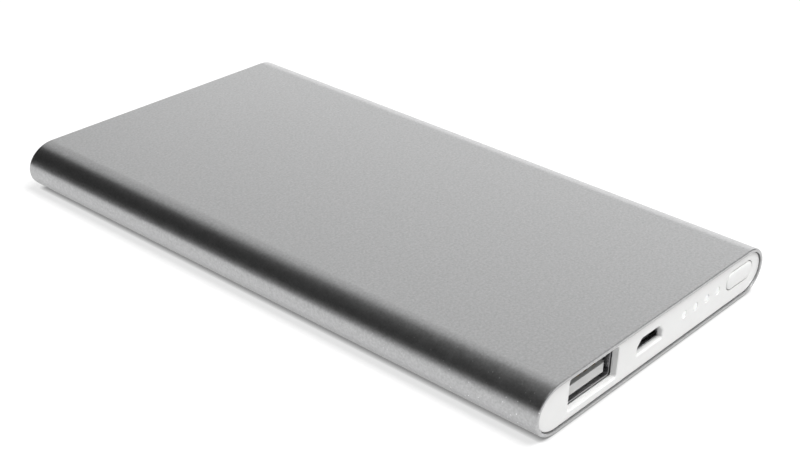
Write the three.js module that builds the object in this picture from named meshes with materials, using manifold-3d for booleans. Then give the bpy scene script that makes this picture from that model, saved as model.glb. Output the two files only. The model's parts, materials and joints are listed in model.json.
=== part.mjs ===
// Slim pocket power bank: an oval aluminium sleeve closed by two plastic end caps, with a pouch cell,
// a main board and its sockets, lights and switch inside.
// Millimetres. +X across the width, +Y along the length away from the sockets, +Z up; the underside is z = 0.
import * as THREE from "three";
import { mergeVertices } from "three/addons/utils/BufferGeometryUtils.js";
import Module from "manifold-3d";

const wasm = await Module();
wasm.setup();

// Envelope
const LENGTH = 125;
const WIDTH = 70;
const HEIGHT = 9.5;
const SIDE_DEPTH = 5.86; // how far the half-elliptical long sides reach out from the flat faces
const END = LENGTH / 2;
const MID_Z = HEIGHT / 2;
const SIDE_SEGMENTS = 28;

// Sleeve walls
const WALL = 0.8;
const RIM_WALL = 0.5; // thinner wall where an end cap seats
const RIM_DEPTH = 1.7;
const RIM_CHAMFER = 0.15;

// End caps
const CAP_INSET = 0.7;
const CAP_RECESS = 0.3;
const CAP_THICKNESS = 1.25;
const CAP_CHAMFER = 0.12;
const CAP_FACE = -END + CAP_RECESS;
const CAP_BACK = CAP_FACE + CAP_THICKNESS;
const ARM = { x: 29, width: 3.2, z0: 1.85, z1: 2.95, length: 3.6, nubLength: 1.2, nubDepth: 0.45 };

// Openings and controls in the front cap
const USB_A = { x: -19.2, z: 5.22, width: 13.8, height: 6.09, corner: 0.5 };
const MICRO = { x: -2.49, z0: 3.66, z1: 6.45, width: 7.8, cutX: 1.25, cutZ: 1.35, wall: 0.75 };
const LIGHT = { x: 8.15, z: 5.25, pitch: 3.73, count: 4, radius: 0.75, recess: 0.35 };
const BUTTON = { x: 26.9, z: 5.34, width: 8.8, height: 3.45, gap: 0.175, proud: 0.25 };

// Tray
const TRAY_INSET = 1.0;
const TRAY_FLOOR = 0.6;
const TRAY_TOP = 7.4;
const TRAY_INNER = 31;
const TRAY_END = 60.6;
const FLOOR_Z = TRAY_INSET + TRAY_FLOOR;

// Pouch cell
const CELL = { x: 30, y0: -40.5, y1: 56.5, z0: 1.9, z1: 7.9, terrace: 4.0, terraceZ: 4.0 };

// Boards
const BOARD = { x: 30.8, y0: -60.4, y1: -43.5, z0: 6.45, z1: 7.25, buttonX: 21.4, buttonY: -59.3 };
const GUARD = { x0: -8, x1: 22, y0: -46.2, y1: -42.2, z0: 4.5, z1: 5.1 };
const SCREWS = [
  ["left", -28.6, -54.6],
  ["right", 28.7, -48.5],
];

// Sockets
const SHELL_A = { width: 13.1, height: 5.72, wall: 0.3, y0: -60.9, y1: -46.9, corner: 0.6 };
const TONGUE_A = { width: 11.1, z0: 3.45, z1: 5.29, y0: -60.6, back: -50.6, corner: 0.55 };
const CONTACTS_A = [-3.5, -1, 1, 3.5];
const SHELL_M = { width: 7.5, z0: 3.8, z1: 6.3, wall: 0.25, y0: -61.35, y1: -56.2 };
const TONGUE_M = { width: 3.9, z0: 4.35, z1: 4.95, y0: -60.7, back: -57.9 };
const CONTACTS_M = [-1.3, -0.65, 0, 0.65, 1.3];

// Switch behind the button
const SWITCH = { z: 5.475, width: 4.8, height: 1.85, y0: -57.2, y1: -54.2, pocket: 0.95 };

const root = new THREE.Group();
root.name = "power_bank";

function finish(color, roughness, metalness = 0) {
  return new THREE.MeshStandardMaterial({ color, roughness, metalness });
}

const FINISH = {
  aluminium: finish(0xb4b5b7, 0.45, 0.9),
  white: finish(0xeeeeec, 0.4),
  clear: finish(0xf4f4f0, 0.25),
  tray: finish(0xd8d9d6, 0.55),
  pouch: finish(0xb9bcc0, 0.35, 0.8),
  nickel: finish(0xc9c7c0, 0.3, 1),
  steel: finish(0xc2c3c5, 0.28, 1),
  gold: finish(0xcfa349, 0.3, 1),
  board: finish(0x1f6b43, 0.5),
  guard: finish(0x1c3f6e, 0.5),
  black: finish(0x1c1c1e, 0.5),
  ferrite: finish(0x3b3b3d, 0.6),
  ceramic: finish(0xb59a74, 0.6),
  light: finish(0xf3f0dc, 0.3),
  amber: finish(0xc98a1e, 0.3),
  foam: finish(0x2c2d30, 0.9),
  paper: finish(0xe3dfcf, 0.8),
  red: finish(0xb3201c, 0.45),
  blackWire: finish(0x17171a, 0.45),
};

// Manifold solid of a closed geometry.
function solid(geometry) {
  const plain = geometry.clone();
  plain.deleteAttribute("normal");
  plain.deleteAttribute("uv");
  const merged = mergeVertices(plain, 1e-4);
  return new wasm.Manifold(
    new wasm.Mesh({
      numProp: 3,
      vertProperties: merged.attributes.position.array,
      triVerts: new Uint32Array(merged.index.array),
    }),
  );
}

function add(name, shape, material) {
  const m = shape.getMesh();
  const indexed = new THREE.BufferGeometry();
  indexed.setAttribute("position", new THREE.BufferAttribute(m.vertProperties, 3));
  indexed.setIndex(new THREE.BufferAttribute(m.triVerts, 1));
  const geometry = indexed.toNonIndexed();
  geometry.computeVertexNormals();
  const mesh = new THREE.Mesh(geometry, material);
  mesh.name = name;
  root.add(mesh);
}

function union(parts) {
  return parts.reduce((sum, part) => sum.add(part));
}

function box(x0, x1, y0, y1, z0, z1) {
  const g = new THREE.BoxGeometry(x1 - x0, y1 - y0, z1 - z0);
  g.translate((x0 + x1) / 2, (y0 + y1) / 2, (z0 + z1) / 2);
  return solid(g);
}

function extrude(shape, depth, segments) {
  return new THREE.ExtrudeGeometry(shape, { depth, bevelEnabled: false, curveSegments: segments });
}

// A shape drawn in X and Z, swept along Y.
function prismY(shape, y0, y1, segments = 8) {
  return solid(extrude(shape, y1 - y0, segments).rotateX(Math.PI / 2).translate(0, y1, 0));
}

// A shape drawn in X and Y, swept along Z.
function prismZ(shape, z0, z1, segments = 12) {
  return solid(extrude(shape, z1 - z0, segments).translate(0, 0, z0));
}

// A shape drawn in Y and Z, swept along X.
function prismX(shape, x0, x1, segments = 8) {
  const turn = new THREE.Matrix4().makeBasis(
    new THREE.Vector3(0, 1, 0),
    new THREE.Vector3(0, 0, 1),
    new THREE.Vector3(1, 0, 0),
  );
  return solid(extrude(shape, x1 - x0, segments).applyMatrix4(turn).translate(x0, 0, 0));
}

function polygon(points) {
  return new THREE.Shape(points.map(([x, y]) => new THREE.Vector2(x, y)));
}

function roundedRect(x0, x1, y0, y1, r) {
  const s = new THREE.Shape();
  s.moveTo(x0 + r, y0);
  s.lineTo(x1 - r, y0);
  s.absarc(x1 - r, y0 + r, r, -Math.PI / 2, 0);
  s.lineTo(x1, y1 - r);
  s.absarc(x1 - r, y1 - r, r, 0, Math.PI / 2);
  s.lineTo(x0 + r, y1);
  s.absarc(x0 + r, y1 - r, r, Math.PI / 2, Math.PI);
  s.lineTo(x0, y0 + r);
  s.absarc(x0 + r, y0 + r, r, Math.PI, 1.5 * Math.PI);
  return s;
}

// Rounded rectangle about a centre, each side moved outwards by `grow`.
function plate(cx, cy, width, height, r, grow = 0) {
  const w = width / 2 + grow;
  const h = height / 2 + grow;
  return roundedRect(cx - w, cx + w, cy - h, cy + h, Math.max(r + grow, 0.02));
}

function pill(cx, cy, width, height, grow = 0) {
  return plate(cx, cy, width, height, height / 2 - 0.001, grow);
}

function disc(cx, cy, r) {
  const s = new THREE.Shape();
  s.absarc(cx, cy, r, 0, 2 * Math.PI);
  return s;
}

// Cross-section of the body moved inwards by `inset`: flat faces joined by half-ellipses.
function section(inset) {
  const points = [];
  for (const side of [1, -1]) {
    for (let i = 0; i <= SIDE_SEGMENTS; i += 1) {
      const t = Math.PI * (i / SIDE_SEGMENTS - 0.5);
      const x = WIDTH / 2 - SIDE_DEPTH + (SIDE_DEPTH - inset) * Math.cos(t);
      points.push([side * x, MID_Z + side * (HEIGHT / 2 - inset) * Math.sin(t)]);
    }
  }
  return points;
}

// Skin through body sections at [y, inset] stations, closed into a ring or capped at both ends.
function loft(stations, ring) {
  const rings = stations.map(([y, inset]) => section(inset).map(([x, z]) => [x, y, z]));
  const count = rings[0].length;
  const vertices = rings.flat(2);
  const faces = [];
  const spans = ring ? rings.length : rings.length - 1;
  for (let k = 0; k < spans; k += 1) {
    const a = k * count;
    const b = ((k + 1) % rings.length) * count;
    for (let i = 0; i < count; i += 1) {
      const j = (i + 1) % count;
      faces.push(a + i, b + j, a + j, a + i, b + i, b + j);
    }
  }
  if (!ring) {
    const last = (rings.length - 1) * count;
    for (let i = 1; i < count - 1; i += 1) {
      faces.push(0, i, i + 1);
      faces.push(last, last + i + 1, last + i);
    }
  }
  const g = new THREE.BufferGeometry();
  g.setAttribute("position", new THREE.Float32BufferAttribute(vertices, 3));
  g.setIndex(faces);
  return solid(g);
}

// A bent strip of constant thickness, drawn through [y, z] points and `width` wide along X.
function ribbon(points, thickness, width, x) {
  const path = points.map(([y, z]) => new THREE.Vector2(y, z));
  const offset = path.map((p, i) => {
    const before = path[Math.max(i - 1, 0)];
    const after = path[Math.min(i + 1, path.length - 1)];
    const along = after.clone().sub(before).normalize();
    return new THREE.Vector2(p.x - along.y * thickness, p.y + along.x * thickness);
  });
  const shape = new THREE.Shape([...path, ...offset.reverse()]);
  return prismX(shape, x - width / 2, x + width / 2);
}

// Round wire along smooth waypoints.
function wire(points, radius) {
  const path = new THREE.CatmullRomCurve3(points.map((p) => new THREE.Vector3(...p)));
  const g = new THREE.ExtrudeGeometry(disc(0, 0, radius), {
    steps: 20,
    curveSegments: 10,
    extrudePath: path,
    bevelEnabled: false,
  });
  return solid(g);
}

function chamferedBox(x0, x1, y0, y1, z0, z1, c) {
  const outline = polygon([
    [x0 + c, z0],
    [x1 - c, z0],
    [x1, z0 + c],
    [x1, z1 - c],
    [x1 - c, z1],
    [x0 + c, z1],
    [x0, z1 - c],
    [x0, z0 + c],
  ]);
  return prismY(outline, y0, y1);
}

// ---- Sleeve ----
const rimInner = END - RIM_DEPTH;
add(
  "sleeve",
  loft(
    [
      [-END, RIM_CHAMFER],
      [-END + RIM_CHAMFER, 0],
      [END - RIM_CHAMFER, 0],
      [END, RIM_CHAMFER],
      [END, RIM_WALL],
      [rimInner, RIM_WALL],
      [rimInner, WALL],
      [-rimInner, WALL],
      [-rimInner, RIM_WALL],
      [-END, RIM_WALL],
    ],
    true,
  ),
  FINISH.aluminium,
);

// ---- End caps ----
// Snap arms: one near each side, with a nub that drops into a pocket in the tray's rail.
function snapArms(from, direction) {
  return [-1, 1].map((side) => {
    const inner = side * (ARM.x - ARM.width / 2);
    const outer = side * (ARM.x + ARM.width / 2);
    const tip = from + direction * ARM.length;
    const nub = outer + side * ARM.nubDepth;
    const path = [
      [inner, from - direction * 0.1],
      [outer, from - direction * 0.1],
      [outer, tip - direction * ARM.nubLength],
      [nub, tip - direction * ARM.nubLength],
      [outer, tip],
      [inner, tip],
    ];
    const loop = side * direction > 0 ? path : path.reverse();
    return prismZ(polygon(loop), ARM.z0, ARM.z1);
  });
}

function capPlate() {
  return loft(
    [
      [CAP_FACE, CAP_INSET + CAP_CHAMFER],
      [CAP_FACE + CAP_CHAMFER, CAP_INSET],
      [CAP_BACK, CAP_INSET],
    ],
    false,
  );
}

// Micro socket outline: wide side down, upper corners cut back. `grow` moves each side outwards.
function microOutline(cx, z0, z1, width, cutX, cutZ, grow = 0) {
  const w = width / 2 + grow;
  const top = z1 + grow;
  const bottom = z0 - grow;
  return polygon([
    [cx - w, bottom],
    [cx + w, bottom],
    [cx + w, top - cutZ],
    [cx + w - cutX * 0.32, top - cutZ * 0.42],
    [cx + w - cutX, top],
    [cx - w + cutX, top],
    [cx - w + cutX * 0.32, top - cutZ * 0.42],
    [cx - w, top - cutZ],
  ]);
}

const lightXs = Array.from({ length: LIGHT.count }, (_, i) => LIGHT.x + i * LIGHT.pitch);
const buttonHole = pill(BUTTON.x, BUTTON.z, BUTTON.width, BUTTON.height, BUTTON.gap);
const microHole = microOutline(MICRO.x, MICRO.z0, MICRO.z1, MICRO.width, MICRO.cutX, MICRO.cutZ);
const microPocket = plate(MICRO.x, (MICRO.z0 + MICRO.z1) / 2, 8.8, 3.4, 0.4);
const through = [CAP_FACE - 1, CAP_BACK + 1];
const frontCap = union([capPlate(), ...snapArms(CAP_BACK, 1)])
  .subtract(prismY(plate(USB_A.x, USB_A.z, USB_A.width, USB_A.height, USB_A.corner), ...through, 6))
  .subtract(prismY(microHole, ...through))
  .subtract(prismY(microPocket, CAP_FACE + MICRO.wall, CAP_BACK + 1))
  .subtract(prismY(buttonHole, ...through, 14))
  .subtract(union(lightXs.map((x) => prismY(disc(x, LIGHT.z, LIGHT.radius), ...through, 12))));
add("front_end_cap", frontCap, FINISH.white);

const rearPlate = capPlate().mirror([0, 1, 0]);
add("rear_end_cap", union([rearPlate, ...snapArms(-CAP_BACK, -1)]), FINISH.white);

// ---- Inner tray ----
const trayOutline = polygon(section(TRAY_INSET));
const armPocket = { y0: TRAY_END - 3.4, y1: TRAY_END - 1.3 };
const pocketCuts = [-1, 1].flatMap((side) => {
  const x = [side * (TRAY_INNER - 0.5), side * (TRAY_INNER + 0.45)].sort((a, b) => a - b);
  return [
    box(...x, armPocket.y0, armPocket.y1, ARM.z0 - 0.2, ARM.z1 + 0.2),
    box(...x, -armPocket.y1, -armPocket.y0, ARM.z0 - 0.2, ARM.z1 + 0.2),
  ];
});
const bosses = SCREWS.map(([, x, y]) => prismZ(disc(x, y, 1.7), FLOOR_Z - 0.1, BOARD.z0 - 0.1));
const pilots = SCREWS.map(([, x, y]) => prismZ(disc(x, y, 0.68), BOARD.z0 - 3.6, BOARD.z0 + 1));
const cellStops = [-24, 0, 24].map((x) =>
  box(x - 2, x + 2, CELL.y0 - 0.2 - 1, CELL.y0 - 0.2, FLOOR_Z - 0.1, 3.4),
);
const floorSlots = [-30, -10, 10, 30].map((y) =>
  prismZ(plate(0, y + 8, 36, 5, 2.4), TRAY_INSET - 1, FLOOR_Z + 1),
);
const flangeRelief = box(TRAY_INNER - 0.5, 32.1, -TRAY_END - 1, -59.3, 2.95, HEIGHT);
const tray = prismY(trayOutline, -TRAY_END, TRAY_END)
  .subtract(box(-TRAY_INNER, TRAY_INNER, -TRAY_END - 1, TRAY_END + 1, FLOOR_Z, HEIGHT))
  .subtract(box(-WIDTH, WIDTH, -TRAY_END - 1, TRAY_END + 1, TRAY_TOP, HEIGHT))
  .add(union([...bosses, ...cellStops]))
  .subtract(union([...pocketCuts, ...pilots, ...floorSlots, flangeRelief]));
add("inner_tray", tray, FINISH.tray);

// ---- Pouch cell ----
// Cushion-shaped pouch: rounded long edges, a thin sealed terrace at the board end.
const cellSection = roundedRect(-CELL.x, CELL.x, CELL.z0, CELL.z1, 1.6);
const cellCore = prismY(cellSection, CELL.y0 + 1.2, CELL.y1 - 1.2, 5);
const cellShoulder = roundedRect(-CELL.x + 0.9, CELL.x - 0.9, CELL.z0 + 0.9, CELL.z1 - 0.9, 1.1);
const cellEnds = prismY(cellShoulder, CELL.y0, CELL.y1, 5);
const terrace = box(
  -CELL.x + 1,
  CELL.x - 1,
  CELL.y0 - CELL.terrace,
  CELL.y0 + 0.5,
  CELL.terraceZ,
  CELL.terraceZ + 0.25,
);
add("pouch_cell", union([cellCore, cellEnds, terrace]), FINISH.pouch);

const tabZ = CELL.terraceZ + 0.3;
for (const [pole, x] of [
  ["negative", -3],
  ["positive", 17],
]) {
  add(`cell_tab_${pole}`, box(x - 2, x + 2, -46, -43, tabZ, tabZ + 0.14), FINISH.nickel);
}

add("cell_adhesive_pad", box(-27, 27, -36, 52, FLOOR_Z + 0.05, CELL.z0 - 0.05), FINISH.paper);
const foamZ = [CELL.z1 + 0.05, HEIGHT - WALL - 0.1];
add("top_foam_strip_left", box(-26, -12, -30, 46, ...foamZ), FINISH.foam);
add("top_foam_strip_right", box(12, 26, -30, 46, ...foamZ), FINISH.foam);
add("rear_foam_block", box(-24, 24, CELL.y1 + 0.15, -CAP_BACK - 0.15, 2.2, 7.2), FINISH.foam);

// ---- Protection board on the cell's terrace ----
add("protection_board", box(GUARD.x0, GUARD.x1, GUARD.y0, GUARD.y1, GUARD.z0, GUARD.z1), FINISH.guard);
const guardTop = GUARD.z1 + 0.04;

// Chip: a moulded body with flat pins along its two long edges.
function chip(cx, cy, seat, up, size, pins, pitch) {
  const [w, d, h] = size;
  const z = (a, b) => (up > 0 ? [seat + a, seat + b] : [seat - b, seat - a]);
  const parts = [box(cx - w / 2, cx + w / 2, cy - d / 2, cy + d / 2, ...z(0.05, h))];
  for (let i = 0; i < pins; i += 1) {
    const x = cx + (i - (pins - 1) / 2) * pitch;
    parts.push(box(x - 0.15, x + 0.15, cy - d / 2 - 0.35, cy + d / 2 + 0.35, ...z(0, 0.2)));
  }
  return union(parts);
}

add("protection_chip", chip(3, -44.2, guardTop, 1, [2.9, 1.5, 0.85], 3, 0.95), FINISH.black);
add("protection_transistor", chip(10.5, -44.2, guardTop, 1, [3.2, 2.4, 0.85], 4, 0.65), FINISH.black);

// Tape: a top sheet over the protection board with a lip folded down its front edge.
const tape = union([
  box(-4.6, 18.4, -46.48, -40.9, 6.08, 6.18),
  box(-4.6, 18.4, -46.48, -46.38, 4.6, 6.12),
]);
add("insulating_tape", tape, FINISH.amber);

const leadZ = [GUARD.z1 + 0.62, BOARD.z0 - 0.62];
add(
  "lead_red",
  wire(
    [
      [20.4, -43.2, leadZ[0]],
      [20.4, -45.4, leadZ[0]],
      [19.6, -47.6, leadZ[1]],
      [18.4, -49.4, leadZ[1]],
    ],
    0.55,
  ),
  FINISH.red,
);
add(
  "lead_black",
  wire(
    [
      [-6.4, -43.2, leadZ[0]],
      [-6.4, -45.4, leadZ[0]],
      [-7.2, -47.6, leadZ[1]],
      [-8.4, -49.4, leadZ[1]],
    ],
    0.55,
  ),
  FINISH.blackWire,
);

// ---- Main board ----
const cutX = SHELL_A.width / 2 + 0.2;
const boardOutline = polygon([
  [-BOARD.x, BOARD.y0],
  [USB_A.x - cutX, BOARD.y0],
  [USB_A.x - cutX, SHELL_A.y1 + 0.3],
  [USB_A.x + cutX, SHELL_A.y1 + 0.3],
  [USB_A.x + cutX, BOARD.y0],
  [BOARD.buttonX, BOARD.y0],
  [BOARD.buttonX, BOARD.buttonY],
  [BOARD.x, BOARD.buttonY],
  [BOARD.x, BOARD.y1],
  [-BOARD.x, BOARD.y1],
]);
const boardHoles = SCREWS.map(([, x, y]) => prismZ(disc(x, y, 0.85), BOARD.z0 - 1, BOARD.z1 + 1));
add("main_board", prismZ(boardOutline, BOARD.z0, BOARD.z1).subtract(union(boardHoles)), FINISH.board);

// Pan-head screws with a cross recess.
for (const [side, x, y] of SCREWS) {
  const seatZ = BOARD.z1 + 0.04;
  const profile = [
    [0, -3.9],
    [0.3, -3.7],
    [0.6, -3.3],
    [0.6, 0],
    [1.45, 0],
    [1.45, 0.45],
    [1.1, 0.8],
    [0, 0.9],
  ].map(([r, z]) => new THREE.Vector2(r, seatZ + z));
  const body = solid(new THREE.LatheGeometry(profile, 20).rotateX(Math.PI / 2));
  const cross = union([
    box(-0.75, 0.75, -0.15, 0.15, seatZ + 0.4, seatZ + 2),
    box(-0.15, 0.15, -0.75, 0.75, seatZ + 0.4, seatZ + 2),
  ]);
  add(`board_screw_${side}`, body.subtract(cross).translate([x, y, 0]), FINISH.steel);
}

// ---- USB-A socket ----
const outerA = plate(USB_A.x, USB_A.z, SHELL_A.width, SHELL_A.height, SHELL_A.corner);
const innerA = plate(
  USB_A.x,
  USB_A.z,
  SHELL_A.width,
  SHELL_A.height,
  SHELL_A.corner,
  -SHELL_A.wall,
);
const shellTop = USB_A.z + SHELL_A.height / 2;
const shellBottom = USB_A.z - SHELL_A.height / 2;
const springs = [];
const springSlots = [];
for (const dx of [-3.4, 3.4]) {
  const x = USB_A.x + dx;
  springSlots.push(box(x - 1.4, x + 1.4, -58.6, -53.6, shellBottom - 1, shellTop + 1));
  // Leaf rooted at the rear of each slot, dipping into the socket and curling out at its tip.
  const leaf = (z, s) => [
    [-53.5, z],
    [-56.6, z - s * 0.45],
    [-58.2, z - s * 0.12],
  ];
  springs.push(ribbon(leaf(shellTop - 0.25, 1), 0.2, 2.2, x));
  springs.push(ribbon(leaf(shellBottom + 0.05, -1), 0.2, 2.2, x));
}
const ears = [-1, 1].flatMap((side) =>
  [-58, -50].map((y) => {
    const x = [USB_A.x + side * (SHELL_A.width / 2 - 0.1), USB_A.x + side * (SHELL_A.width / 2 + 1.3)];
    x.sort((a, b) => a - b);
    return box(...x, y - 1, y + 1, BOARD.z1 + 0.04, BOARD.z1 + 0.34);
  }),
);
const shellA = prismY(outerA, SHELL_A.y0, SHELL_A.y1, 4)
  .subtract(prismY(innerA, SHELL_A.y0 - 1, SHELL_A.y1 + 1, 4))
  .subtract(union(springSlots))
  .add(union([...springs, ...ears]));
add("usb_a_shell", shellA, FINISH.steel);

// Insulator: a block at the back of the shell carrying a tongue with a groove for each contact.
const grooveA = 0.3;
const tongueOutline = roundedRect(
  USB_A.x - TONGUE_A.width / 2,
  USB_A.x + TONGUE_A.width / 2,
  TONGUE_A.y0,
  TONGUE_A.back + 2,
  TONGUE_A.corner,
);
const blockA = box(
  USB_A.x - SHELL_A.width / 2 + SHELL_A.wall + 0.08,
  USB_A.x + SHELL_A.width / 2 - SHELL_A.wall - 0.08,
  TONGUE_A.back,
  SHELL_A.y1 - 0.2,
  shellBottom + SHELL_A.wall + 0.08,
  shellTop - SHELL_A.wall - 0.08,
);
const groovesA = CONTACTS_A.map((dx) =>
  box(
    USB_A.x + dx - 0.6,
    USB_A.x + dx + 0.6,
    TONGUE_A.y0 + 0.7,
    SHELL_A.y1 + 1,
    TONGUE_A.z1 - grooveA,
    TONGUE_A.z1 + 0.25,
  ),
);
const tongueA = prismZ(tongueOutline, TONGUE_A.z0, TONGUE_A.z1)
  .add(blockA)
  .subtract(union(groovesA));
add("usb_a_insulator", tongueA, FINISH.white);

// Contact: a strip in its groove, lifted slightly near the tip, with a tail bent up to the board.
CONTACTS_A.forEach((dx, i) => {
  const z = TONGUE_A.z1 - grooveA + 0.04;
  const strip = ribbon(
    [
      [TONGUE_A.y0 + 0.85, z],
      [TONGUE_A.y0 + 2.0, z + 0.16],
      [TONGUE_A.y0 + 3.2, z],
      [SHELL_A.y1 + 0.35, z],
    ],
    0.2,
    1.0,
    USB_A.x + dx,
  );
  const tail = box(
    USB_A.x + dx - 0.3,
    USB_A.x + dx + 0.3,
    SHELL_A.y1 + 0.1,
    SHELL_A.y1 + 0.3,
    z,
    BOARD.z0 + 0.4,
  );
  add(`usb_a_contact_${i + 1}`, strip.add(tail), FINISH.gold);
});

// ---- Micro socket ----
const outerM = microOutline(MICRO.x, SHELL_M.z0, SHELL_M.z1, SHELL_M.width, MICRO.cutX, MICRO.cutZ);
const innerM = microOutline(
  MICRO.x,
  SHELL_M.z0,
  SHELL_M.z1,
  SHELL_M.width,
  MICRO.cutX,
  MICRO.cutZ,
  -SHELL_M.wall,
);
const shellM = prismY(outerM, SHELL_M.y0, SHELL_M.y1).subtract(
  prismY(innerM, SHELL_M.y0 - 1, SHELL_M.y1 + 1),
);
add("micro_usb_shell", shellM, FINISH.steel);

const blockM = microOutline(
  MICRO.x,
  SHELL_M.z0,
  SHELL_M.z1,
  SHELL_M.width,
  MICRO.cutX,
  MICRO.cutZ,
  -SHELL_M.wall - 0.05,
);
const grooveM = 0.14;
const tongueM = box(
  MICRO.x - TONGUE_M.width / 2,
  MICRO.x + TONGUE_M.width / 2,
  TONGUE_M.y0,
  TONGUE_M.back + 0.5,
  TONGUE_M.z0,
  TONGUE_M.z1,
)
  .add(prismY(blockM, TONGUE_M.back, SHELL_M.y1 - 0.1))
  .subtract(
    union(
      CONTACTS_M.map((dx) =>
        box(
          MICRO.x + dx - 0.16,
          MICRO.x + dx + 0.16,
          TONGUE_M.y0 + 0.35,
          SHELL_M.y1 + 1,
          TONGUE_M.z1 - grooveM,
          TONGUE_M.z1 + 0.12,
        ),
      ),
    ),
  );
add("micro_usb_insulator", tongueM, FINISH.black);

CONTACTS_M.forEach((dx, i) => {
  const z = TONGUE_M.z1 - grooveM + 0.03;
  const x = MICRO.x + dx;
  const strip = box(x - 0.12, x + 0.12, TONGUE_M.y0 + 0.4, SHELL_M.y1 + 0.55, z, z + 0.14);
  const tail = box(x - 0.12, x + 0.12, SHELL_M.y1 + 0.35, SHELL_M.y1 + 0.55, z, BOARD.z0 - 0.04);
  add(`micro_usb_contact_${i + 1}`, strip.add(tail), FINISH.gold);
});

// ---- Charge lights ----
lightXs.forEach((x, i) => {
  add(`led_${i + 1}`, chamferedBox(x - 0.8, x + 0.8, -60.2, -59.4, 5.3, BOARD.z0 - 0.05, 0.12), FINISH.light);
});
const lightBar = plate(
  (lightXs[0] + lightXs[LIGHT.count - 1]) / 2,
  LIGHT.z,
  LIGHT.pitch * (LIGHT.count - 1) + 2.2,
  1.9,
  0.3,
);
const nibs = lightXs.map((x) =>
  prismY(disc(x, LIGHT.z, LIGHT.radius - 0.1), CAP_FACE + LIGHT.recess, CAP_BACK + 0.3, 12),
);
add("light_guide", prismY(lightBar, CAP_BACK + 0.1, CAP_BACK + 0.55).add(union(nibs)), FINISH.clear);

// ---- Button and switch ----
// Button: a pill with a softened front edge, a stop flange inside the cap and a stem to the switch.
const buttonFront = CAP_FACE - BUTTON.proud;
const softSteps = [
  [buttonFront, -0.22],
  [buttonFront + 0.06, -0.09],
  [buttonFront + 0.14, -0.025],
  [buttonFront + 0.24, 0],
];
const buttonBody = softSteps.map(([y, grow]) =>
  prismY(pill(BUTTON.x, BUTTON.z, BUTTON.width, BUTTON.height, grow), y, CAP_BACK + 0.1, 14),
);
const buttonFlange = prismY(
  plate(BUTTON.x, BUTTON.z, BUTTON.width + 1.1, BUTTON.height + 0.95, 1.4),
  CAP_BACK + 0.05,
  CAP_BACK + 0.65,
);
const plungerTip = SWITCH.y0 - 1;
const stem = chamferedBox(
  BUTTON.x - 1.2,
  BUTTON.x + 1.2,
  CAP_BACK + 0.6,
  plungerTip - 0.05,
  SWITCH.z - 0.8,
  SWITCH.z + 0.8,
  0.2,
);
add("button", union([...buttonBody, buttonFlange, stem]), FINISH.white);

const half = SWITCH.width / 2;
const pocketX = 1.95;
const pocketZ = 0.78;
const switchBase = chamferedBox(
  BUTTON.x - half,
  BUTTON.x + half,
  SWITCH.y0,
  SWITCH.y1,
  SWITCH.z - SWITCH.height / 2,
  SWITCH.z + SWITCH.height / 2,
  0.15,
).subtract(
  box(
    BUTTON.x - pocketX,
    BUTTON.x + pocketX,
    SWITCH.y0 - 1,
    SWITCH.y0 + SWITCH.pocket,
    SWITCH.z - pocketZ,
    SWITCH.z + pocketZ,
  ),
);
add("switch_base", switchBase, FINISH.black);

const coverHole = box(
  BUTTON.x - 1.05,
  BUTTON.x + 1.05,
  SWITCH.y0 - 1,
  SWITCH.y0 + 1,
  SWITCH.z - 0.6,
  SWITCH.z + 0.6,
);
const cover = box(
  BUTTON.x - half,
  BUTTON.x + half,
  SWITCH.y0 - 0.18,
  SWITCH.y0 - 0.02,
  SWITCH.z - SWITCH.height / 2,
  SWITCH.z + SWITCH.height / 2,
).subtract(coverHole);
add("switch_cover", cover, FINISH.steel);

const plunger = union([
  box(BUTTON.x - 0.95, BUTTON.x + 0.95, plungerTip, SWITCH.y0 + 0.1, SWITCH.z - 0.5, SWITCH.z + 0.5),
  box(BUTTON.x - 1.4, BUTTON.x + 1.4, SWITCH.y0 + 0.05, SWITCH.y0 + 0.3, SWITCH.z - 0.68, SWITCH.z + 0.68),
]);
add("switch_plunger", plunger, FINISH.black);

// Snap dome: a thin arch across the pocket, crown towards the plunger.
const domeSpan = 1.75;
const domeRise = 0.42;
const domeFoot = SWITCH.y0 + SWITCH.pocket - 0.05;
const arc = (lift) =>
  Array.from({ length: 13 }, (_, i) => {
    const u = i / 6 - 1;
    return [BUTTON.x + u * domeSpan, domeFoot - lift - domeRise * Math.cos((u * Math.PI) / 2)];
  });
const domeShape = polygon([...arc(0.1), ...arc(0).reverse()]);
add("switch_dome", prismZ(domeShape, SWITCH.z - 0.6, SWITCH.z + 0.6), FINISH.nickel);

// ---- Board components ----
const seat = BOARD.z0 - 0.04; // components hang under the board
const coilBody = union([
  prismZ(plate(7.2, -52, 6.2, 6.2, 0.9), seat - 3.0, seat - 0.35),
  box(4.4, 10, -53.1, -50.9, seat - 0.4, seat),
]);
add("power_inductor", coilBody, FINISH.ferrite);
add("charge_controller_chip", chip(15.2, -53.2, seat, -1, [5.0, 3.9, 1.4], 4, 1.27), FINISH.black);
add("boost_transistor", chip(15.2, -57.2, seat, -1, [3.2, 2.0, 0.9], 3, 0.95), FINISH.black);

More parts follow.
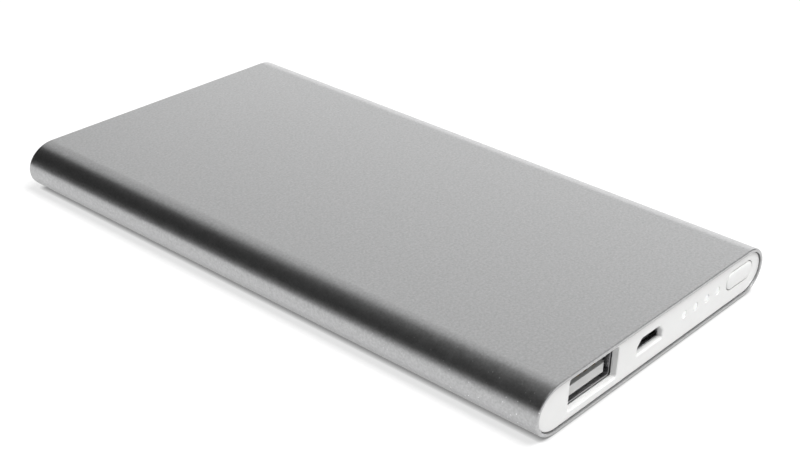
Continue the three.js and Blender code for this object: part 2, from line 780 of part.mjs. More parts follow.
// Ceramic capacitors and resistors: a body between two slightly thicker end terminals.
function twoTerminal(cx, cy, seatZ, up, length, width, height) {
  const t = length * 0.18;
  const z = (a, b) => (up > 0 ? [seatZ + a, seatZ + b] : [seatZ - b, seatZ - a]);
  const y = [cy - width / 2, cy + width / 2];
  return union([
    box(cx - length / 2 + 0.05, cx + length / 2 - 0.05, y[0] + 0.04, y[1] - 0.04, ...z(0.04, height - 0.04)),
    box(cx - length / 2, cx - length / 2 + t, ...y, ...z(0, height)),
    box(cx + length / 2 - t, cx + length / 2, ...y, ...z(0, height)),
  ]);
}
add("output_capacitor_1", twoTerminal(-1.4, -53.4, seat, -1, 3.2, 1.6, 1.5), FINISH.ceramic);
add("output_capacitor_2", twoTerminal(-1.4, -50.9, seat, -1, 3.2, 1.6, 1.5), FINISH.ceramic);
add("input_capacitor", twoTerminal(-8.6, -54.5, seat, -1, 2.0, 1.25, 1.1), FINISH.ceramic);
add("sense_resistor", twoTerminal(22.6, -51.8, seat, -1, 3.2, 1.6, 0.6), FINISH.black);
add("light_resistor", twoTerminal(13.8, -46.6, BOARD.z1 + 0.04, 1, 1.6, 0.8, 0.45), FINISH.black);

add("insulation_sheet", box(-26, 26, -60, -44, 8.38, 8.52), FINISH.paper);

export default root;
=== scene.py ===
"""Looks for the slim aluminium power bank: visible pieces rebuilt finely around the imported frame, then
materials, studio and camera. Lengths are millimetres unless a name or a comment says otherwise."""

import json
import math

import bmesh
import bpy
from mathutils import Matrix, Vector
from mathutils.geometry import delaunay_2d_cdt


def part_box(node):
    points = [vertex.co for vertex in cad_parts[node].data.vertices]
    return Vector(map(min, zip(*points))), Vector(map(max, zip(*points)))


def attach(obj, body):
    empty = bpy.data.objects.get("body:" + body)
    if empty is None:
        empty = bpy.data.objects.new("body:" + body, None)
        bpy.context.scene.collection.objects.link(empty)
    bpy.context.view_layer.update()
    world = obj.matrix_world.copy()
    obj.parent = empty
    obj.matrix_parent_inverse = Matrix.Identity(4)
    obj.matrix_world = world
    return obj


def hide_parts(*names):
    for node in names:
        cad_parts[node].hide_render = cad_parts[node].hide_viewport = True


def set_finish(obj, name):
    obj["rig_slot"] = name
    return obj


MM = 0.001

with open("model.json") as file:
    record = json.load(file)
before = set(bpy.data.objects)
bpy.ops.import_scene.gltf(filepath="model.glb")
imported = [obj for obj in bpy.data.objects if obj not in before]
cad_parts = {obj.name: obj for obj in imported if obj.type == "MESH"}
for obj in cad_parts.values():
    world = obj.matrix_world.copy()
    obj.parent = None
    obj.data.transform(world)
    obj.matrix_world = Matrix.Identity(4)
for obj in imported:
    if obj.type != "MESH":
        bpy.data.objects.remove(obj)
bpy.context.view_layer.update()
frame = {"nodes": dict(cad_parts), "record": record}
slot_of = {row["node"]: row["material_slot"] for row in frame["record"]["subparts"]}

# ---------------------------------------------------------------- camera
CAMERA_AZIMUTH = math.radians(-50.224)
CAMERA_ELEVATION = math.radians(28.105)
CAMERA_ROLL = math.radians(2.291)
CAMERA_DISTANCE = 285.6
CAMERA_TARGET = Vector((-2.06, -6.49, 4.86))
LENS_MM = 68.4
SENSOR_MM = 36.0
CLIP_METRES = (0.01, 50.0)


def add_camera():
    """Camera at the photograph's viewing angle."""
    a, e, r = CAMERA_AZIMUTH, CAMERA_ELEVATION, CAMERA_ROLL
    back = Vector((math.sin(a) * math.cos(e), -math.cos(a) * math.cos(e), math.sin(e)))
    right = Vector((math.cos(a), math.sin(a), 0))
    up = back.cross(right)
    rolled_right = math.cos(r) * right + math.sin(r) * up
    rolled_up = -math.sin(r) * right + math.cos(r) * up
    data = bpy.data.cameras.new("camera")
    data.lens = LENS_MM
    data.sensor_width = SENSOR_MM
    data.clip_start, data.clip_end = CLIP_METRES
    camera = bpy.data.objects.new("camera", data)
    bpy.context.scene.collection.objects.link(camera)
    turn = Matrix((rolled_right, rolled_up, back)).transposed()
    place = (CAMERA_TARGET + back * CAMERA_DISTANCE) * MM
    camera.matrix_world = Matrix.Translation(place) @ turn.to_4x4()
    bpy.context.scene.camera = camera


add_camera()

# ---------------------------------------------------------------- body outline, as in the CAD
WIDTH, LENGTH, HEIGHT = 70.0, 125.0, 9.5
SIDE_DEPTH = 5.86
END = LENGTH / 2
MID_Z = HEIGHT / 2
SIDE_STEPS = 40

# Small chamfer at each end of the sleeve, its corners rounded: (depth behind the end, inset).
RIM_CHAMFER = [(0.0, 0.18), (0.008, 0.145), (0.13, 0.012), (0.18, 0.0)]
RIM_LIP = 0.02
RIM_WALL = 0.64
RIM_DEPTH = 1.7
WALL = 0.8

CAP_INSET = 0.71
CAP_RECESS = 0.3
CAP_FACE = -END + CAP_RECESS
CAP_THICKNESS = 1.25
CAP_BACK = CAP_FACE + CAP_THICKNESS

PILL_STRAIGHT = 0.004
SMALLEST_RADIUS = 0.01


def section(inset):
    """Body cross-section moved inwards: two half-ellipses joined by the flat faces, anticlockwise."""
    points = []
    for side in (1, -1):
        for i in range(SIDE_STEPS + 1):
            t = math.pi * (i / SIDE_STEPS - 0.5)
            x = WIDTH / 2 - SIDE_DEPTH + (SIDE_DEPTH - inset) * math.cos(t)
            points.append((side * x, MID_Z + side * (HEIGHT / 2 - inset) * math.sin(t)))
    return points


def rounded_rect(cx, cz, width, height, radius, grow=0.0, steps=8):
    """Rectangle with round corners; grow moves the whole outline outwards."""
    w, h = width / 2 + grow, height / 2 + grow
    r = min(max(radius + grow, SMALLEST_RADIUS), w, h)
    points = []
    for k, (sx, sz) in enumerate(((1, 1), (-1, 1), (-1, -1), (1, -1))):
        for i in range(steps + 1):
            a = math.pi / 2 * (k + i / steps)
            points.append((cx + sx * (w - r) + r * math.cos(a), cz + sz * (h - r) + r * math.sin(a)))
    return points


def pill(cx, cz, width, height, grow=0.0):
    """Slot shape. A short straight stays at each end, so that no two points meet."""
    return rounded_rect(cx, cz, width, height, height / 2 - PILL_STRAIGHT, grow, steps=14)


def circle(cx, cz, radius, steps=28):
    turns = [2 * math.pi * i / steps for i in range(steps)]
    return [(cx + radius * math.cos(a), cz + radius * math.sin(a)) for a in turns]


def soften(corners, radius, steps=4):
    """Rounds each corner of a convex outline with a small arc-like curve."""
    points = []
    count = len(corners)
    for i, corner in enumerate(corners):
        c = Vector(corner)
        before = Vector(corners[i - 1]) - c
        after = Vector(corners[(i + 1) % count]) - c
        a = c + before.normalized() * min(radius, before.length * 0.45)
        b = c + after.normalized() * min(radius, after.length * 0.45)
        for k in range(steps + 1):
            t = k / steps
            points.append(tuple((1 - t) ** 2 * a + 2 * t * (1 - t) * c + t * t * b))
    return points


def micro_outline(cx, z0, z1, width, cut_x, cut_z, grow=0.0, radius=0.35):
    """Micro socket: wide side down, upper corners cut back."""
    w = width / 2 + grow
    top, bottom = z1 + grow, z0 - grow
    corners = [
        (cx + w, bottom),
        (cx + w, top - cut_z),
        (cx + w - cut_x, top),
        (cx - w + cut_x, top),
        (cx - w, top - cut_z),
        (cx - w, bottom),
    ]
    return soften(corners, radius)


# ---------------------------------------------------------------- mesh helpers
# Degrees between two faces from which their edge is shaded as sharp.
METAL_SHARP, MOULDED_SHARP, SOFT_SHARP = 24.0, 38.0, 50.0


class Shell:
    """Collects closed skins in one mesh."""

    def __init__(self):
        self.bm = bmesh.new()

    def loop(self, outline, y):
        return [self.bm.verts.new((x * MM, y * MM, z * MM)) for x, z in outline]

    def strip(self, a, b):
        for i in range(len(a)):
            j = (i + 1) % len(a)
            self.bm.faces.new((a[i], a[j], b[j], b[i]))

    def skin(self, outlines, ring=False, caps=True):
        """Joins [y, outline] stations; closed as a ring, or capped at both ends."""
        loops = [self.loop(outline, y) for y, outline in outlines]
        for a, b in zip(loops, loops[1:]):
            self.strip(a, b)
        if ring:
            self.strip(loops[-1], loops[0])
        elif caps:
            self.bm.faces.new(loops[0])
            self.bm.faces.new(loops[-1])
        return loops

    def fill(self, loops):
        """Flat face between an outer loop and its holes."""
        corners = [vertex for loop in loops for vertex in loop]
        flat = [Vector((v.co.x, v.co.z)) / MM for v in corners]
        edges, start = [], 0
        for loop in loops:
            count = len(loop)
            edges += [(start + i, start + (i + 1) % count) for i in range(count)]
            start += count
        points, _, faces, origins, _, _ = delaunay_2d_cdt(flat, edges, [], 0, 1e-6)
        # A face is kept if a line from its middle crosses the loops an odd number of times.
        for face in faces:
            middle = sum((points[i] for i in face), Vector((0, 0))) / len(face)
            crossings = sum(
                (flat[a].y > middle.y) != (flat[b].y > middle.y)
                and middle.x
                < flat[a].x + (middle.y - flat[a].y) * (flat[b].x - flat[a].x) / (flat[b].y - flat[a].y)
                for a, b in edges
            )
            if crossings % 2:
                self.bm.faces.new([corners[origins[i][0]] for i in face])

    def plate(self, outer, holes):
        """Plate with holes. Each of outer and holes is a list of [y, outline] stations, front to back."""
        walls = [self.skin(stations, caps=False) for stations in (outer, *holes)]
        self.fill([loops[0] for loops in walls])
        self.fill([loops[-1] for loops in walls])

    def box(self, low, high, bevel):
        """Box between two corners, with bevelled edges."""
        made = bmesh.ops.create_cube(self.bm, size=1.0)
        size = Vector(high) - Vector(low)
        middle = (Vector(high) + Vector(low)) / 2
        for v in made["verts"]:
            v.co = Vector((v.co[i] * size[i] + middle[i] for i in range(3))) * MM
        edges = list({e for v in made["verts"] for e in v.link_edges})
        bmesh.ops.bevel(self.bm, geom=edges, offset=bevel * MM, segments=2, affect="EDGES")

    def finish(self, name, body, node, sharp_degrees):
        """Makes the piece, which rides on body and stands for node."""
        bmesh.ops.recalc_face_normals(self.bm, faces=self.bm.faces)
        mesh = bpy.data.meshes.new(name)
        self.bm.to_mesh(mesh)
        self.bm.free()
        for polygon in mesh.polygons:
            polygon.use_smooth = True
        mesh.set_sharp_from_angle(angle=math.radians(sharp_degrees))
        piece = bpy.data.objects.new(name, mesh)
        bpy.context.scene.collection.objects.link(piece)
        normals = piece.modifiers.new("normals", "WEIGHTED_NORMAL")
        normals.keep_sharp = True
        normals.weight = 100
        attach(piece, body)
        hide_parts(node)
        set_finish(piece, slot_of[node])
        return piece


def fillet(radius, y, steps=5):
    """[y, inset] pairs of a quarter-round edge: from the front face to the side wall."""
    pairs = []
    for i in range(steps + 1):
        a = math.pi / 2 * i / steps
        pairs.append((y + radius * (1 - math.cos(a)), radius * (1 - math.sin(a))))
    return pairs


# ---------------------------------------------------------------- sleeve
def build_sleeve():
    """Oval tube, thinner at each end where a cap goes in."""
    front = [(depth - END, inset) for depth, inset in RIM_CHAMFER]
    inner_rim = END - RIM_DEPTH
    back_inside = [
        (END, RIM_WALL - RIM_LIP),
        (END - RIM_LIP, RIM_WALL),
        (inner_rim, RIM_WALL),
        (inner_rim, WALL),
    ]
    stations = front + [(-y, inset) for y, inset in reversed(front)]
    stations += back_inside + [(-y, inset) for y, inset in reversed(back_inside)]
    shell = Shell()
    shell.skin([(y, section(inset)) for y, inset in stations], ring=True)
    return shell.finish("sleeve_skin", "housing", "sleeve", METAL_SHARP)


# ---------------------------------------------------------------- end caps
USB_A = {"cx": -19.2, "cz": 5.22, "width": 13.8, "height": 6.09, "radius": 0.5}
MICRO = {"cx": -2.49, "z0": 3.66, "z1": 6.45, "width": 7.8, "cut_x": 1.25, "cut_z": 1.35}
LIGHT_START, LIGHT_PITCH, LIGHT_COUNT = 8.15, 3.73, 4
LIGHT_XS = [LIGHT_START + LIGHT_PITCH * i for i in range(LIGHT_COUNT)]
LIGHT_Z = 5.25
LIGHT_RADIUS = 0.75
BUTTON = {"cx": 26.9, "cz": 5.34, "width": 8.8, "height": 3.45}
BUTTON_GAP = 0.175
BUTTON_PROUD = 0.25
CAP_EDGE = 0.24
USB_EDGE, MICRO_EDGE, BUTTON_HOLE_EDGE, LIGHT_EDGE = 0.2, 0.34, 0.14, 0.1
ARM_X, ARM_WIDTH, ARM_Z0, ARM_Z1, ARM_LENGTH = 29.0, 3.2, 1.85, 2.95, 3.6
ARM_ROOT = 0.1
NUB_LENGTH, NUB_DEPTH = 1.2, 0.45


def hole_stations(outline, edge):
    """Hole through the cap with a rounded front edge; outline(grow) gives its shape."""
    return [(y, outline(inset)) for y, inset in fillet(edge, CAP_FACE)] + [(CAP_BACK, outline(0))]


def add_arms(shell, start, direction):
    """Snap arms behind the cap, each with a nub near its tip."""
    for side in (-1, 1):
        inner, outer = ARM_X - ARM_WIDTH / 2, ARM_X + ARM_WIDTH / 2
        tip = start + direction * ARM_LENGTH
        root = start - direction * ARM_ROOT
        nub = tip - direction * NUB_LENGTH
        path = [
            (inner, root),
            (outer, root),
            (outer, nub),
            (outer + NUB_DEPTH, nub),
            (outer, tip),
            (inner, tip),
        ]
        low = [shell.bm.verts.new((side * x * MM, y * MM, ARM_Z0 * MM)) for x, y in path]
        high = [shell.bm.verts.new((side * x * MM, y * MM, ARM_Z1 * MM)) for x, y in path]
        shell.strip(low, high)
        shell.bm.faces.new(low)
        shell.bm.faces.new(high)


def build_front_cap():
    """Cap with the two socket windows, the button hole and the row of light holes."""
    outer = [(y, section(CAP_INSET + inset)) for y, inset in fillet(CAP_EDGE, CAP_FACE)]
    outer.append((CAP_BACK, section(CAP_INSET)))
    usb = hole_stations(lambda g: rounded_rect(grow=g, **USB_A), USB_EDGE)
    micro = hole_stations(lambda g: micro_outline(grow=g, **MICRO), MICRO_EDGE)
    button = hole_stations(lambda g: pill(grow=BUTTON_GAP + g, **BUTTON), BUTTON_HOLE_EDGE)
    lights = [
        hole_stations(lambda g, x=x: circle(x, LIGHT_Z, LIGHT_RADIUS + g), LIGHT_EDGE) for x in LIGHT_XS
    ]
    shell = Shell()
    shell.plate(outer, [usb, micro, button, *lights])
    add_arms(shell, CAP_BACK, 1)
    return shell.finish("front_cap_moulding", "housing", "front_end_cap", MOULDED_SHARP)


def build_rear_cap():
    """Plain cap that matches the front one."""
    stations = [(-y, section(CAP_INSET + inset)) for y, inset in fillet(CAP_EDGE, CAP_FACE)]
    stations.append((-CAP_BACK, section(CAP_INSET)))
    shell = Shell()
    shell.skin(stations)
    add_arms(shell, -CAP_BACK, -1)
    return shell.finish("rear_cap_moulding", "housing", "rear_end_cap", MOULDED_SHARP)


# Light guide. GUIDE_DOME is (depth behind the tip, share of the stub's radius).
GUIDE_OVERHANG, GUIDE_HEIGHT, GUIDE_CORNER, GUIDE_EDGE = 2.2, 1.9, 0.3, 0.06
GUIDE_FRONT, GUIDE_BACK = CAP_BACK + 0.1, CAP_BACK + 0.55
STUB_GAP = 0.02
STUB_TIP = CAP_FACE + 0.06
STUB_ROOT = CAP_BACK + 0.2
GUIDE_DOME = [(0.0, 0.3), (0.005, 0.6), (0.015, 0.85), (0.03, 0.96), (0.08, 1.0)]


def build_light_guide():
    """Milky bar behind the cap with one domed stub in each light hole."""
    bar = {
        "cx": (LIGHT_XS[0] + LIGHT_XS[-1]) / 2,
        "cz": LIGHT_Z,
        "width": LIGHT_XS[-1] - LIGHT_XS[0] + GUIDE_OVERHANG,
        "height": GUIDE_HEIGHT,
        "radius": GUIDE_CORNER,
    }
    shell = Shell()
    shell.skin(
        [
            (GUIDE_FRONT, rounded_rect(grow=-GUIDE_EDGE, **bar)),
            (GUIDE_FRONT + GUIDE_EDGE, rounded_rect(**bar)),
            (GUIDE_BACK, rounded_rect(**bar)),
        ]
    )
    radius = LIGHT_RADIUS - STUB_GAP
    for x in LIGHT_XS:
        stations = [(STUB_TIP + depth, circle(x, LIGHT_Z, radius * share)) for depth, share in GUIDE_DOME]
        stations.append((STUB_ROOT, circle(x, LIGHT_Z, radius)))
        shell.skin(stations)
    return shell.finish("light_guide_stubs", "housing", "light_guide", SOFT_SHARP)


# Button. BUTTON_CROWN is (depth behind the face, inset from the pill).
BUTTON_CROWN = [(0.0, 1.2), (0.02, 0.85), (0.05, 0.55), (0.1, 0.3), (0.17, 0.13), (0.26, 0.03), (0.36, 0.0)]
FLANGE = {"cx": BUTTON["cx"], "cz": BUTTON["cz"], "width": 9.9, "height": 4.4, "radius": 1.4}
FLANGE_FRONT, FLANGE_BACK, FLANGE_EDGE = CAP_BACK + 0.05, CAP_BACK + 0.65, 0.08
PILL_BACK = CAP_BACK + 0.1
STEM_FRONT, STEM_END = CAP_BACK + 0.6, -58.25
STEM_Z, STEM_HALF_WIDTH, STEM_HALF_HEIGHT, STEM_BEVEL = 5.475, 1.2, 0.8, 0.2


def build_button():
    """Pill cap with a softly rounded, slightly crowned face, a stop flange and a stem."""
    front = CAP_FACE - BUTTON_PROUD
    stations = [(front + y, pill(grow=-inset, **BUTTON)) for y, inset in BUTTON_CROWN]
    stations.append((PILL_BACK, pill(**BUTTON)))
    shell = Shell()
    shell.skin(stations)
    shell.skin(
        [
            (FLANGE_FRONT, rounded_rect(grow=-FLANGE_EDGE, **FLANGE)),
            (FLANGE_FRONT + FLANGE_EDGE, rounded_rect(**FLANGE)),
            (FLANGE_BACK, rounded_rect(**FLANGE)),
        ]
    )
    shell.box(
        (BUTTON["cx"] - STEM_HALF_WIDTH, STEM_FRONT, STEM_Z - STEM_HALF_HEIGHT),
        (BUTTON["cx"] + STEM_HALF_WIDTH, STEM_END, STEM_Z + STEM_HALF_HEIGHT),
        STEM_BEVEL,
    )
    return shell.finish("button_cap", "button", "button", MOULDED_SHARP)


FOAM_NODES = ("top_foam_strip_left", "top_foam_strip_right", "rear_foam_block")
FOAM_RADIUS = 0.2
FOAM_SAG = 0.03
FOAM_SPANS = 8
FOAM_ENDS = [(0.0, 0.14), (0.04, 0.07), (0.1, 0.02), (0.2, 0.0)]


def build_foam(node):
    """Die-cut foam pressed between its neighbours: soft edges, a slightly slack middle."""
    low, high = (Vector(corner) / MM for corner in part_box(node))
    middle = (low + high) / 2
    block = {"cx": middle.x, "cz": middle.z, "width": high.x - low.x, "height": high.z - low.z}
    stations = [(low.y + depth, inset) for depth, inset in FOAM_ENDS]
    for i in range(1, FOAM_SPANS):
        part = i / FOAM_SPANS
        stations.append((low.y + (high.y - low.y) * part, FOAM_SAG * math.sin(math.pi * part)))
    stations += [(high.y - depth, inset) for depth, inset in reversed(FOAM_ENDS)]
    shell = Shell()
    shell.skin([(y, rounded_rect(radius=FOAM_RADIUS, grow=-inset, **block)) for y, inset in stations])
    return shell.finish(node + "_pad", "housing", node, SOFT_SHARP)


sleeve = build_sleeve()
front_cap = build_front_cap()
rear_cap = build_rear_cap()
light_guide = build_light_guide()
button = build_button()
foams = [build_foam(node) for node in FOAM_NODES]

# ---------------------------------------------------------------- edges of the CAD nodes that stay
EDGE_RADIUS = {
    "usb_a_shell": 0.06,
    "micro_usb_shell": 0.06,
    "usb_a_insulator": 0.1,
    "micro_usb_insulator": 0.05,
    "pouch_cell": 0.25,
    "inner_tray": 0.12,
    "main_board": 0.05,
    "power_inductor": 0.12,
}
DEFAULT_EDGE_RADIUS = 0.035
WELD_DISTANCE = 0.002
EDGE_DEGREES = 40


def soften_edges(node, obj):
    """Rounds the edges with modifiers, which leave the CAD mesh itself as it is."""
    weld = obj.modifiers.new("weld", "WELD")
    weld.merge_threshold = WELD_DISTANCE * MM
    bevel = obj.modifiers.new("edges", "BEVEL")
    bevel.width = EDGE_RADIUS.get(node, DEFAULT_EDGE_RADIUS) * MM
    bevel.segments = 2
    bevel.limit_method = "ANGLE"
    bevel.angle_limit = math.radians(EDGE_DEGREES)
    bevel.harden_normals = True


# The leads are round already.
for node, obj in frame["nodes"].items():
    if not obj.hide_render and not node.startswith("lead_"):
        soften_edges(node, obj)


# ---------------------------------------------------------------- materials
class Nodes:
    """Builds one procedural material in object coordinates (metres)."""

    def __init__(self, name, metallic=0.0, **sockets):
        self.material = bpy.data.materials.new(name)
        self.material.use_nodes = True
        self.tree = self.material.node_tree
        self.tree.nodes.clear()
        self.output = self.tree.nodes.new("ShaderNodeOutputMaterial")
        self.shader = self.tree.nodes.new("ShaderNodeBsdfPrincipled")
        self.tree.links.new(self.shader.outputs["BSDF"], self.output.inputs["Surface"])
        self.shader.inputs["Metallic"].default_value = metallic
        for socket, value in sockets.items():
            self.shader.inputs[socket.replace("_", " ")].default_value = value
        self.place = self.tree.nodes.new("ShaderNodeTexCoord").outputs["Object"]

    def link(self, a, b):
        self.tree.links.new(a, b)

    def scaled(self, stretch=(1, 1, 1)):
        mapping = self.tree.nodes.new("ShaderNodeMapping")
        mapping.inputs["Scale"].default_value = stretch
        self.link(self.place, mapping.inputs["Vector"])
        return mapping.outputs["Vector"]

    def noise(self, size_mm, detail=3.0, rough=0.55, stretch=(1, 1, 1)):
        noise = self.tree.nodes.new("ShaderNodeTexNoise")
        noise.inputs["Scale"].default_value = 1 / (size_mm * MM)
        noise.inputs["Detail"].default_value = detail
        noise.inputs["Roughness"].default_value = rough
        self.link(self.scaled(stretch), noise.inputs["Vector"])
        return noise.outputs["Fac"]

    def cells(self, size_mm):
        cells = self.tree.nodes.new("ShaderNodeTexVoronoi")
        cells.inputs["Scale"].default_value = 1 / (size_mm * MM)
        self.link(self.scaled(), cells.inputs["Vector"])
        return cells.outputs["Distance"]

    def spread(self, value, low, high, start=0.3, end=0.7):
        node = self.tree.nodes.new("ShaderNodeMapRange")
        node.inputs["From Min"].default_value = start
        node.inputs["From Max"].default_value = end
        node.inputs["To Min"].default_value = low
        node.inputs["To Max"].default_value = high
        self.link(value, node.inputs["Value"])
        return node.outputs["Result"]

    def tint(self, value, dark, light, start=0.3, end=0.7):
        ramp = self.tree.nodes.new("ShaderNodeValToRGB")
        ramp.color_ramp.elements[0].position = start
        ramp.color_ramp.elements[1].position = end
        ramp.color_ramp.elements[0].color = (*dark, 1)
        ramp.color_ramp.elements[1].color = (*light, 1)
        self.link(value, ramp.inputs["Fac"])
        return ramp.outputs["Color"]

    def blend(self, a, b, factor):
        """Mixes two colours. Sockets 6 and 7 are the node's colour inputs, and 2 is its colour output."""
        mix = self.tree.nodes.new("ShaderNodeMix")
        mix.data_type = "RGBA"
        self.link(factor, mix.inputs["Factor"])
        self.link(a, mix.inputs[6])
        self.link(b, mix.inputs[7])
        return mix.outputs[2]

    def product(self, a, b):
        node = self.tree.nodes.new("ShaderNodeMath")
        node.operation = "MULTIPLY"
        self.link(a, node.inputs[0])
        self.link(b, node.inputs[1])
        return node.outputs[0]

    def color(self, value):
        self.link(value, self.shader.inputs["Base Color"])

    def roughness(self, value):
        self.link(value, self.shader.inputs["Roughness"])

    def bump(self, height, depth_mm, strength, under=None):
        bump = self.tree.nodes.new("ShaderNodeBump")
        bump.inputs["Distance"].default_value = depth_mm * MM
        bump.inputs["Strength"].default_value = strength
        self.link(height, bump.inputs["Height"])
        if under is not None:
            self.link(under, bump.inputs["Normal"])
        self.link(bump.outputs["Normal"], self.shader.inputs["Normal"])
        return bump.outputs["Normal"]


def grey(level):
    """A grey that leans very slightly to blue."""
    return (level, level * 1.003, level * 1.008)


# Stretches of x and of y over which the sleeve's pit marks, painted lighter as painted glints, fade out.
PITS_AND_GLINTS_EDGE = (-32.5, -30.0)
PITS_AND_GLINTS_END = (-50.0, -20.0)


def aluminium():
    """Bead-blasted, clear-anodised aluminium: fine even grain and a few pit marks near the front left,
    painted lighter as a painted glint.
    """
    m = Nodes("sleeve_aluminium", metallic=1.0)
    grain = m.noise(0.45, detail=3, rough=0.75)
    base = m.tint(grain, grey(0.365), grey(0.535), 0.25, 0.75)
    axes = m.tree.nodes.new("ShaderNodeSeparateXYZ")
    m.link(m.place, axes.inputs["Vector"])
    near_edge = m.spread(axes.outputs["X"], 1.0, 0.0, *[x * MM for x in PITS_AND_GLINTS_EDGE])
    near_end = m.spread(axes.outputs["Y"], 1.0, 0.0, *[y * MM for y in PITS_AND_GLINTS_END])
    # Painted glint: pit marks near the front left get a lighter base colour, standing in for the light they
    # catch.
    pits_and_glints = m.product(m.spread(m.cells(1.1), 1.0, 0.0, 0.08, 0.12), m.product(near_edge, near_end))
    pit_glint_tint = m.tint(grain, grey(0.75), grey(0.9))
    m.color(m.blend(base, pit_glint_tint, pits_and_glints))
    m.roughness(m.spread(m.noise(1.4, detail=3), 0.315, 0.345))
    m.bump(m.noise(0.16, detail=2, rough=0.7), 0.004, 0.5)
    return m.material


def moulded(name, light, dark, rough=(0.32, 0.42), grain_mm=0.12, depth_mm=0.003, **sockets):
    """Moulded plastic: spark-eroded micro texture, faint flow marks and soft gloss changes."""
    m = Nodes(name, **sockets)
    m.color(m.tint(m.noise(6, detail=3), dark, light))
    m.roughness(m.spread(m.noise(1.6, detail=4), *rough))
    m.bump(m.noise(grain_mm, detail=2), depth_mm, 0.6)
    return m.material


def metal(name, light, dark, rough=(0.2, 0.34), depth_mm=0.002):
    """Plated strip: rolling lines along the sheet and small gloss changes."""
    m = Nodes(name, metallic=1.0)
    lines = m.noise(0.5, detail=4, stretch=(9, 1, 9))
    m.color(m.tint(m.noise(1.2, detail=3), dark, light))
    m.roughness(m.spread(lines, *rough))
    m.bump(lines, depth_mm, 0.5)
    return m.material


def board(name, light, dark):
    """Solder mask over copper: traces show as slightly raised bands of another shade."""
    m = Nodes(name, Coat_Weight=0.3, Coat_Roughness=0.2)
    traces = m.tree.nodes.new("ShaderNodeTexBrick")
    traces.inputs["Scale"].default_value = 1 / (2.4 * MM)
    traces.inputs["Mortar Size"].default_value = 0.06
    m.link(m.place, traces.inputs["Vector"])
    pattern = traces.outputs["Fac"]
    m.color(m.tint(pattern, dark, light, 0.2, 0.8))
    m.roughness(m.spread(m.noise(1.0), 0.35, 0.5))
    m.bump(pattern, 0.02, 0.5)
    return m.material


def foil():
    """Laminate pouch: soft creases pressed into satin foil."""
    m = Nodes("pouch_foil", metallic=0.9)
    m.color(m.tint(m.noise(9, detail=4), (0.47, 0.49, 0.52), (0.6, 0.62, 0.65)))
    m.roughness(m.spread(m.noise(3, detail=4), 0.26, 0.42))
    fine = m.bump(m.noise(0.4, detail=2), 0.004, 0.4)
    m.bump(m.noise(7, detail=2, stretch=(1, 0.5, 1)), 0.12, 0.6, under=fine)
    return m.material


def foam():
    """Black open-cell foam, with painted shade darkening the middle of each pore."""
    m = Nodes("foam")
    pores_and_shade = m.cells(0.35)
    # Painted shade: each pore is coloured darker towards its middle; the same cells also shape the bump.
    m.color(m.tint(pores_and_shade, (0.012, 0.013, 0.015), (0.04, 0.042, 0.046), 0.1, 0.6))
    m.roughness(m.spread(m.noise(1.5), 0.85, 0.98))
    m.bump(pores_and_shade, 0.08, 0.8)
    return m.material


def paper():
    """Cream insulating paper with long fibres."""
    m = Nodes("paper_tape")
    fibres = m.noise(0.5, detail=5, stretch=(1, 4, 1))
    m.color(m.tint(fibres, (0.66, 0.63, 0.54), (0.8, 0.77, 0.68)))
    m.roughness(m.spread(fibres, 0.75, 0.9))
    m.bump(fibres, 0.01, 0.6)
    return m.material


MATERIALS = {
    "sleeve_aluminium": aluminium(),
    "cap_plastic": moulded("cap_plastic", (0.765, 0.765, 0.76), (0.745, 0.745, 0.738), depth_mm=0.0015),
    "button_plastic": moulded(
        "button_plastic", (0.75, 0.75, 0.745), (0.73, 0.73, 0.722), rough=(0.34, 0.4), depth_mm=0.0006
    ),
    "light_guide": moulded(
        "light_guide",
        (0.96, 0.96, 0.955),
        (0.93, 0.93, 0.925),
        rough=(0.2, 0.28),
        Subsurface_Weight=0.1,
        Subsurface_Scale=0.8 * MM,
    ),
    "tray_plastic": moulded("tray_plastic", (0.68, 0.69, 0.67), (0.62, 0.63, 0.61), rough=(0.45, 0.6)),
    "pouch_foil": foil(),
    "nickel": metal("nickel", (0.68, 0.66, 0.6), (0.58, 0.56, 0.5)),
    "paper_tape": paper(),
    "foam": foam(),
    "guard_board": board("guard_board", (0.02, 0.07, 0.19), (0.01, 0.035, 0.11)),
    "main_board": board("main_board", (0.02, 0.16, 0.07), (0.01, 0.085, 0.035)),
    "chip_black": moulded(
        "chip_black", (0.02, 0.02, 0.022), (0.012, 0.012, 0.013), rough=(0.45, 0.6), grain_mm=0.2
    ),
    "amber_tape": moulded(
        "amber_tape", (0.62, 0.28, 0.02), (0.5, 0.2, 0.012), rough=(0.15, 0.3), grain_mm=0.8, depth_mm=0.006
    ),
    "lead_red": moulded("lead_red", (0.5, 0.02, 0.015), (0.4, 0.014, 0.01), rough=(0.4, 0.55)),
    "lead_black": moulded("lead_black", (0.02, 0.02, 0.022), (0.01, 0.01, 0.011), rough=(0.4, 0.55)),
    "socket_steel": metal("socket_steel", (0.44, 0.44, 0.45), (0.34, 0.34, 0.35)),
    "insulator_white": moulded(
        "insulator_white", (0.64, 0.64, 0.63), (0.58, 0.58, 0.57), rough=(0.38, 0.5)
    ),
    "ferrite": moulded(
        "ferrite", (0.05, 0.05, 0.053), (0.03, 0.03, 0.032), rough=(0.55, 0.75), grain_mm=0.25, depth_mm=0.02
    ),
    "ceramic_chip": moulded("ceramic_chip", (0.46, 0.32, 0.18), (0.38, 0.26, 0.14), rough=(0.5, 0.65)),
    "contact_gold": metal("contact_gold", (0.83, 0.58, 0.2), (0.72, 0.48, 0.15), rough=(0.18, 0.3)),
    "led_lens": moulded(
        "led_lens", (0.88, 0.86, 0.7), (0.82, 0.8, 0.62), rough=(0.12, 0.22), Coat_Weight=0.4
    ),
}


def paint(obj, material):
    obj.data.materials.clear()
    obj.data.materials.append(material)


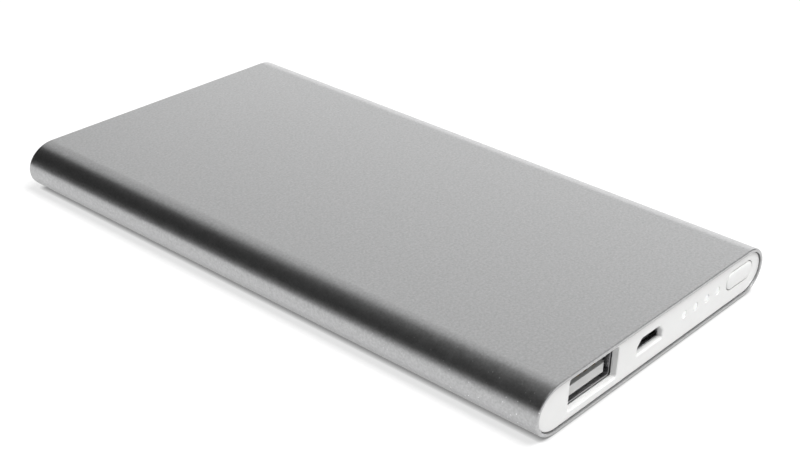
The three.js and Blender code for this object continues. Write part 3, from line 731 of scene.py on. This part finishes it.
for node, obj in frame["nodes"].items():
    if not obj.hide_render:
        paint(obj, MATERIALS[slot_of[node]])
for piece in (sleeve, front_cap, rear_cap, light_guide, button, *foams):
    paint(piece, MATERIALS[piece["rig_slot"]])


# ---------------------------------------------------------------- studio
FLOOR_GLOW = 0.7
FLOOR_HALF_WIDTH = 4000.0
FLOOR_DROP = 0.02
# Reach of the painted contact shadow in the floor's glow.
CONTACT_SHADE_REACH = 1.1


def floor_material():
    """Pale table lit softly from below; its glow carries a painted contact shadow, a thin dark line where
    something rests on it.
    """
    m = Nodes("studio_floor", Emission_Strength=FLOOR_GLOW)
    # Painted shade: occlusion darkens the floor's glow, a painted contact shadow around whatever rests on
    # the floor.
    contact = m.tree.nodes.new("ShaderNodeAmbientOcclusion")
    contact.inputs["Distance"].default_value = CONTACT_SHADE_REACH * MM
    m.link(contact.outputs["Color"], m.shader.inputs["Emission Color"])
    m.color(m.tint(m.noise(120, detail=3), (0.3, 0.3, 0.3), (0.31, 0.31, 0.31)))
    m.roughness(m.spread(m.noise(40), 0.85, 0.95))
    return m.material


def add_floor():
    """Square floor just under the object."""
    mesh = bpy.data.meshes.new("floor")
    half = FLOOR_HALF_WIDTH * MM
    corners = [(-half, -half, 0), (half, -half, 0), (half, half, 0), (-half, half, 0)]
    mesh.from_pydata(corners, [], [(0, 1, 2, 3)])
    floor = bpy.data.objects.new("floor", mesh)
    bpy.context.scene.collection.objects.link(floor)
    floor.location.z = -FLOOR_DROP * MM
    paint(floor, floor_material())


def add_softbox(name, azimuth, elevation, distance, width, height, radiance):
    """Area light aimed at the object. azimuth is from +X towards +Y, in degrees; radiance sets its power."""
    a, e = math.radians(azimuth), math.radians(elevation)
    away = Vector((math.cos(a) * math.cos(e), math.sin(a) * math.cos(e), math.sin(e)))
    data = bpy.data.lights.new(name, "AREA")
    data.shape = "RECTANGLE"
    data.size, data.size_y = width, height
    data.energy = radiance * math.pi * width * height
    light = bpy.data.objects.new(name, data)
    light.location = away * distance
    light.rotation_mode = "QUATERNION"
    light.rotation_quaternion = away.to_track_quat("Z", "Y")
    bpy.context.scene.collection.objects.link(light)


# Name, azimuth and elevation in degrees, then distance, width and height in metres, then radiance.
SOFTBOXES = [
    ("overhead_key", -84, 70, 1.4, 0.64, 0.64, 18.0),
    ("front_fill", -138, 20, 1.2, 0.8, 0.5, 1.5),
    ("rim_card", -26, 33, 1.2, 0.85, 0.42, 1.7),
    ("back_card_low", 24, 13, 1.3, 1.82, 0.62, 1.4),
    ("back_card_high", 36, 42, 1.3, 1.9, 0.7, 0.78),
    ("side_card", 176, 9, 1.5, 1.6, 0.44, 0.7),
]
ROOM_LIGHT = 0.018

add_floor()
for softbox in SOFTBOXES:
    add_softbox(*softbox)

world = bpy.data.worlds.new("world")
world.use_nodes = True
world.node_tree.nodes["Background"].inputs["Color"].default_value = (1, 1, 1, 1)
world.node_tree.nodes["Background"].inputs["Strength"].default_value = ROOM_LIGHT
bpy.context.scene.world = world
bpy.context.scene.view_settings.view_transform = "Standard"
